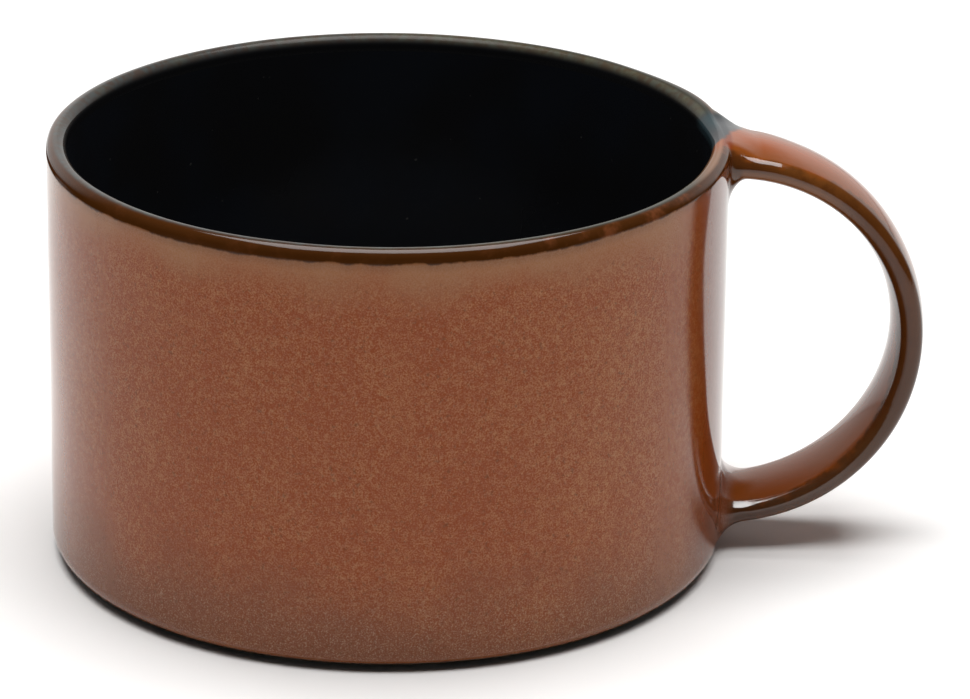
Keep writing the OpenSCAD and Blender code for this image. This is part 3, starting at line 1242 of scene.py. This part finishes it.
@dataclass(frozen=True)
class Root:
    """Glazed clay that joins one end of the strap to the wall in one smooth surface.

    Its methods take points as an array with one point in each row.

    Attributes:
        climb: Rise of the strap's outer face to the lip, over climb_length and the Y of climb_side.
        inner_climb: Rise of its inner face towards the outer one.
        flare: Widening of the far flank at the lip, over flare_length.
        press: Depth of a flat that leans by press_lean along the near inner edge, up to press_fade.
        lip_start, lip_end: How far inside the crest the fillet starts, and the surface ends.
        stride, strides: Length and number of the steps that follow the surface.
        margin: Length of the root past its fillet, which is feathered into the wall.
        lift, sink: Height of the surface above the coats, and depth of its edge below them.
        bed: Depth of the hidden last ring.
        probe: Distance over which a slope is taken.
    """

    name: str
    node: str
    end: StrapEnd
    fillets: Fillets
    climb: float = 0.0
    climb_length: float = 5.1 * MM
    climb_side: tuple[float, float] = (-6.0 * MM, -4.4 * MM)
    inner_climb: float = 0.0
    flare: float = 0.0
    flare_length: float = 3.4 * MM
    press: float = 0.0
    press_lean: float = math.radians(48)
    press_fade: tuple[float, float] = (2.5 * MM, 4.8 * MM)
    press_clear: float = 0.001 * MM
    lip_start: float = 0.2 * MM
    lip_end: float = 0.15 * MM
    least_reach: float = 0.0001 * MM
    slot: Slot = Slot.HANDLE
    rows: int = 64
    stride: float = 0.06 * MM
    strides: int = 240
    stride_tries: int = 3
    ring_tries: int = 6
    margin: float = 1.3 * MM
    lift: float = 0.004 * MM
    lift_rows: float = 0.25
    sink: float = 0.008 * MM
    bed: float = 0.25 * MM
    probe: float = 0.002 * MM
    least_slope: float = 0.5

    def wall_distance(self, place: np.ndarray) -> np.ndarray:
        """Works out each point's distance from the cup's glazed outside.

        Args:
            place: Points.

        Returns:
            The distances, which are negative inside.
        """
        height = place[:, 2]
        if self.end is StrapEnd.UPPER:
            above = np.maximum(height - (CUP.height - CUP.lip_round), 0.0)
            return np.hypot(from_axis(place) - CUP.crest, above) - CUP.lip_round
        across = from_axis(place) - (CUP.radius - CUP.base_round)
        under = CUP.base + CUP.base_round - height
        corner = np.hypot(np.maximum(across, 0.0), np.maximum(under, 0.0))
        return corner + np.minimum(np.maximum(across, under), 0.0) - CUP.base_round

    def strap_place(self, place: np.ndarray) -> tuple[np.ndarray, np.ndarray]:
        """Works out each point's place beside the strap's middle line.

        Args:
            place: Points.

        Returns:
            The distances outwards, taken on a strap that does not climb to the lip, and along Y.
        """
        away = np.hypot(place[:, 0] - STRAP.centre_x, place[:, 2] - STRAP.centre_z) - STRAP.path
        past_crest = from_axis(place) - CUP.crest
        share = 1 - smooth_step(past_crest, 0.0, self.climb_length)
        spread = self.flare * (1 - smooth_step(past_crest, 0.0, self.flare_length))
        side = place[:, 1] - np.clip(place[:, 1], 0.0, spread)
        crown_drop = np.minimum(np.abs(side), STRAP.edge) ** 2 / (2 * STRAP.crown)
        rise = (self.climb + crown_drop) * (self.climb > 0) * smooth_step(side, *self.climb_side)
        level = away - np.clip(away, 0.0, rise * share)
        return level + np.clip(-level, 0.0, self.inner_climb * share), side

    def strap_distance(self, place: np.ndarray) -> np.ndarray:
        """Works out each point's distance from the strap's glazed surface.

        Args:
            place: Points.

        Returns:
            The distances, which are negative inside.
        """
        away, side = self.strap_place(place)
        to_crown = np.abs(away) + STRAP.crown - STRAP.thickness / 2
        face = np.hypot(to_crown, side) - STRAP.crown
        edge = np.hypot(away, np.abs(side) - STRAP.edge) - STRAP.edge_round
        on_face = np.arctan2(np.abs(side), to_crown) < STRAP.crown_turn
        whole = np.maximum(np.where(on_face, face, edge), CUP.crest - from_axis(place))
        if not self.press:
            return whole
        depth = self.press * (1 - smooth_step(from_axis(place) - CUP.radius, *self.press_fade))
        towards = -away * math.sin(self.press_lean) - (side + STRAP.edge) * math.cos(self.press_lean)
        return np.maximum(whole, towards - STRAP.edge_round + depth + self.press_clear)

    def wall_normal(self, place: np.ndarray) -> np.ndarray:
        """Works out the direction out of the wall, or out of its lip, at each point.

        Args:
            place: Points.

        Returns:
            The directions, at length 1.
        """
        out = from_axis(place)
        above = np.maximum(place[:, 2] - (CUP.height - CUP.lip_round), 0.0)
        flat = place[:, :2] * (np.maximum(out - CUP.crest, 0.0) / out)[:, None]
        return unit(np.column_stack([flat, above]))

    def strap_normal(self, place: np.ndarray) -> np.ndarray:
        """Works out the direction out of the strap at each point.

        Args:
            place: Points.

        Returns:
            The directions, at length 1.
        """
        away, side = self.strap_place(place)
        past_edge = np.sign(side) * np.maximum(np.abs(side) - STRAP.edge, 0.0)
        arm = unit(place[:, ::2] - (STRAP.centre_x, STRAP.centre_z)) * away[:, None]
        return unit(np.column_stack([arm[:, 0], past_edge, arm[:, 1]]))

    def reach(self, place: np.ndarray) -> np.ndarray:
        """Works out how far the fillet reaches at each point.

        Args:
            place: Points.

        Returns:
            The reaches, which shrink to almost nothing where the surfaces run level.
        """
        lip = smooth_step(from_axis(place), CUP.crest - self.lip_start, CUP.radius)
        level = np.sum(self.wall_normal(place) * self.strap_normal(place), axis=1)
        angle = np.clip(1 - level, 0.0, 1.0)
        return self.fillets.reach(*self.strap_place(place)) * lip * angle + self.least_reach

    def distance(self, place: np.ndarray) -> np.ndarray:
        """Works out each point's distance from the smooth union of wall and strap.

        Args:
            place: Points.

        Returns:
            The distances, which are negative inside.
        """
        wall = self.wall_distance(place)
        strap = self.strap_distance(place)
        reach = self.reach(place)
        near = np.maximum(reach - np.abs(wall - strap), 0.0) / reach
        return np.minimum(wall, strap) - near ** 2 * reach / 4

    def slope(self, field: Callable[[np.ndarray], np.ndarray], place: np.ndarray) -> np.ndarray:
        """Returns the slope of a distance at each point."""
        return np.stack([(field(place + step) - field(place - step)) / (2 * self.probe)
                         for step in np.eye(3) * self.probe], axis=1)

    def draw_to_surface(self, place: np.ndarray, level: Union[float, np.ndarray], tries: int) -> np.ndarray:
        """Moves points along the slope of the distance until they lie on the surface.

        Args:
            place: Points near the surface.
            level: Distance at which each one comes to rest.
            tries: Number of moves.

        Returns:
            The moved points.
        """
        for _ in range(tries):
            slope = self.slope(self.distance, place)
            slope /= np.maximum(np.sum(slope ** 2, axis=1, keepdims=True), self.least_slope ** 2)
            place = place - (self.distance(place) - level)[:, None] * slope
        return place

    def start(self) -> np.ndarray:
        """Works out where the root meets the strap's coat.

        Returns:
            The points of that ring.
        """
        point = STRAP.section()
        turn = STRAP.end_turn(self.end)
        lean = turn + STRAP.half_step
        out = STRAP.path * math.sin(turn) + point[:, 0] * math.sin(lean)
        up = STRAP.path * math.cos(turn) + point[:, 0] * math.cos(lean)
        return np.stack([STRAP.centre_x + out, point[:, 1], STRAP.centre_z + self.end.value * up], axis=1)

    def walk(self) -> np.ndarray:
        """Follows the surface from the strap to the wall, in short strides.

        Returns:
            The place of each point after each stride. A point stops past its fillet or on top of the lip.
        """
        place = self.start()
        path = [place]
        moving = np.ones(len(place))
        for _ in range(self.strides):
            normal = unit(self.slope(self.distance, place))
            course = self.slope(self.strap_distance, place) - (1.0, 0.0, 0.0)
            course = unit(course - np.sum(course * normal, axis=1, keepdims=True) * normal)
            place = place + course * (self.stride * moving)[:, None]
            place = self.draw_to_surface(place, 0.0, self.stride_tries)
            path.append(place)
            past = self.strap_distance(place) - self.wall_distance(place) - self.reach(place)
            over = from_axis(place) < CUP.crest - self.lip_end
            moving[(past > self.margin) | over] = 0.0
        return np.array(path)

    def rings(self) -> list[np.ndarray]:
        """Works out the surface, ring by ring from the strap to the wall.

        Returns:
            The rings, of which the last lies inside the wall.
        """
        path = self.walk()
        strides = np.linalg.norm(np.diff(path, axis=0), axis=2)
        gone = np.concatenate([np.zeros((1, path.shape[1])), np.cumsum(strides, axis=0)])
        rings = [path[0]]
        for row in range(1, self.rows + 1):
            share = row / self.rows
            mark = gone[-1] * share
            ring = np.array([[np.interp(mark[here], gone[:, here], path[:, here, axis]) for axis in range(3)]
                             for here in range(path.shape[1])])
            feather = smooth_step(gone[-1] - mark, self.margin, 0.0)
            level = self.lift * min(1.0, share / self.lift_rows) - (self.lift + self.sink) * feather
            rings.append(self.draw_to_surface(ring, level, self.ring_tries))
        rings.append(self.draw_to_surface(rings[-1], -self.bed, self.ring_tries))
        return rings

    def mesh(self) -> bpy.types.Mesh:
        """Joins the rings into one closed mesh.

        Returns:
            The mesh.
        """
        rings = self.rings()
        count = len(rings[0])
        points = np.concatenate(rings + [ring.mean(axis=0)[None] for ring in (rings[0], rings[-1])])
        first_cap, last_cap = len(points) - 2, len(points) - 1
        last = (len(rings) - 1) * count
        faces = []
        for here in range(count):
            there = (here + 1) % count
            for row in range(0, last, count):
                faces.append((row + here, row + count + here, row + count + there, row + there))
            faces.append((first_cap, here, there))
            faces.append((last_cap, last + there, last + here))
        if self.end is StrapEnd.UPPER:
            faces = [face[::-1] for face in faces]
        mesh = bpy.data.meshes.new("rough_" + self.name)
        mesh.from_pydata(points.tolist(), [], faces)
        return mesh

    def build(self, material: bpy.types.Material) -> bpy.types.Object:
        """Makes the root.

        Args:
            material: Its finish.

        Returns:
            The piece.
        """
        sheet = GeometrySheet("shaped_" + self.name)
        sheet.close(HANDS.shape(sheet, sheet.entry.outputs["Geometry"]), material)
        return settle(sheet.grow(self.name, start=self.mesh()), self.slot, self.node)


def upper_root() -> Root:
    """Returns the root at the lip: flush with it on top, tight at the near side and wider below."""
    fillets = Fillets(outer=1.6 * MM, outer_side=0.9 * MM, inner_side=1.1 * MM, inner=4.2 * MM, far=3.0)
    return Root("upper_root", "upper_joint", StrapEnd.UPPER, fillets, climb=0.92 * MM, flare=2.4 * MM)


def lower_root() -> Root:
    """Returns the root near the base, which flares wide on both sides."""
    fillets = Fillets(outer=3.4 * MM, outer_side=4.4 * MM, inner_side=4.8 * MM, inner=5.0 * MM, near=0.45)
    return Root("lower_root", "lower_joint", StrapEnd.LOWER, fillets, inner_climb=0.3 * MM, press=0.07 * MM)


@dataclass(frozen=True)
class Cup:
    """The whole cup: clay as packed, and the coats and roots that stand for the rest."""

    clay_nodes: tuple[str, ...] = ("cup_body", "handle_loop")

    def build(self) -> list[bpy.types.Object]:
        """Makes and dresses every piece.

        Returns:
            The new pieces.
        """
        clay = ClayFinish().material()
        for node in self.clay_nodes:
            self.dress(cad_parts[node], clay)
        pieces = [wall_coat().build(RustFinish("wall_rust_glaze").material()),
                  lip_coat().build(RustFinish("lip_brown_glaze").material()),
                  inside_coat().build(BlackFinish().material())]
        handle = RustFinish("handle_rust_glaze").material()
        return pieces + [part.build(handle) for part in (StrapCoat(), upper_root(), lower_root())]

    def dress(self, node: bpy.types.Object, material: bpy.types.Material) -> None:
        """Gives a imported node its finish, without touching its shape.

        Args:
            node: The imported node.
            material: Its finish.
        """
        node.data.materials.clear()
        node.data.materials.append(material)
        LOG.info("%s keeps its packed shape", node.name)


@dataclass(frozen=True)
class Studio:
    """Pale floor, soft light and the camera."""

    target: tuple[float, float, float] = (11.885 * MM, -0.664 * MM, 24.886 * MM)
    distance: float = 655.1 * MM
    azimuth: float = math.radians(-3.2)
    elevation: float = math.radians(21.065)
    roll: float = math.radians(0.673)
    lens: float = 199.63
    sensor: float = 36.0
    near_clip: float = 10.0 * MM
    floor_half: float = 0.9
    floor_colour: Colour = (0.90, 0.895, 0.885)
    floor_shade: Colour = (0.8, 0.8, 0.8)
    floor_cloud: Pattern = Pattern(0.4, 1.0, high=0.04)
    floor_rough: float = 0.7
    light_colour: Colour = (1.0, 0.99, 0.975)
    backdrop: Ramp = Ramp(0.30, 0.76, 0.86, 0.08)
    camera_side: Ramp = Ramp(-0.75, -0.3)
    camera_side_light: float = 0.03
    softbox_power: float = 14.0
    softbox_size: tuple[float, float] = (0.85, 0.72)
    softbox_place: tuple[float, float, float] = (0.02, 0.0, 0.90)

    def build(self) -> None:
        """Sets up floor, light and camera."""
        self.lay_floor()
        self.light_sky()
        self.hang_softbox()
        self.set_camera()
        view = bpy.context.scene.view_settings
        view.view_transform = "Standard"
        view.look = "None"

    def lay_floor(self) -> None:
        """Lays a wide pale floor under the cup."""
        half = self.floor_half
        corners = [(-half, -half, 0), (half, -half, 0), (half, half, 0), (-half, half, 0)]
        mesh = bpy.data.meshes.new("floor")
        mesh.from_pydata(corners, [], [(0, 1, 2, 3)])
        sheet = MaterialSheet("pale_floor")
        shade = sheet.pattern(sheet.place(), self.floor_cloud)
        colour = sheet.mix(shade, self.floor_colour, self.floor_shade)
        mesh.materials.append(sheet.close({"Base Color": colour, "Roughness": self.floor_rough}))
        floor = bpy.data.objects.new("floor", mesh)
        bpy.context.scene.collection.objects.link(floor)

    def light_sky(self) -> None:
        """Fills the room with pale light, with less of it on the camera's side."""
        world = bpy.data.worlds.new("studio")
        bpy.context.scene.world = world
        world.use_nodes = True
        world.node_tree.nodes.clear()
        sheet = NodeSheet(world.node_tree)
        look = sheet.add("ShaderNodeTexCoord").outputs["Generated"]
        to_camera = (math.sin(self.azimuth), -math.cos(self.azimuth), 0.0)
        facing = sheet.add("ShaderNodeVectorMath", {0: look, 1: to_camera}, operation="DOT_PRODUCT")
        _, _, up = sheet.axes(look)
        strength = sheet.blend(sheet.step(facing.outputs["Value"], *self.camera_side),
                               sheet.step(up, *self.backdrop), self.camera_side_light)
        light = sheet.out("ShaderNodeBackground", {"Color": rgba(self.light_colour), "Strength": strength})
        sheet.add("ShaderNodeOutputWorld", {"Surface": light})

    def hang_softbox(self) -> None:
        """Hangs a wide soft light over the cup."""
        lamp = bpy.data.lights.new("softbox", "AREA")
        lamp.shape = "RECTANGLE"
        lamp.size, lamp.size_y = self.softbox_size
        lamp.energy = self.softbox_power
        softbox = bpy.data.objects.new("softbox", lamp)
        softbox.location = self.softbox_place
        bpy.context.scene.collection.objects.link(softbox)

    def set_camera(self) -> None:
        """Sets the camera at the angle, distance and tilt of the picture."""
        level = math.cos(self.elevation)
        back = Vector((level * math.sin(self.azimuth), -level * math.cos(self.azimuth),
                       math.sin(self.elevation)))
        camera = bpy.data.objects.new("camera", bpy.data.cameras.new("camera"))
        camera.data.lens = self.lens
        camera.data.sensor_width = self.sensor
        camera.data.clip_start = self.near_clip
        camera.location = Vector(self.target) + back * self.distance
        camera.rotation_mode = "QUATERNION"
        camera.rotation_quaternion = (-back).to_track_quat("-Z", "Y") @ Quaternion((0.0, 0.0, 1.0), self.roll)
        bpy.context.scene.collection.objects.link(camera)
        bpy.context.scene.camera = camera


def main() -> None:
    """Builds the cup and its studio in order."""
    logging.basicConfig(level=logging.INFO, format="%(name)s: %(message)s")
    Studio().build()
    for piece in Cup().build():
        LOG.info("%s is in place", piece.name)


if __name__ == "__main__":
    main()
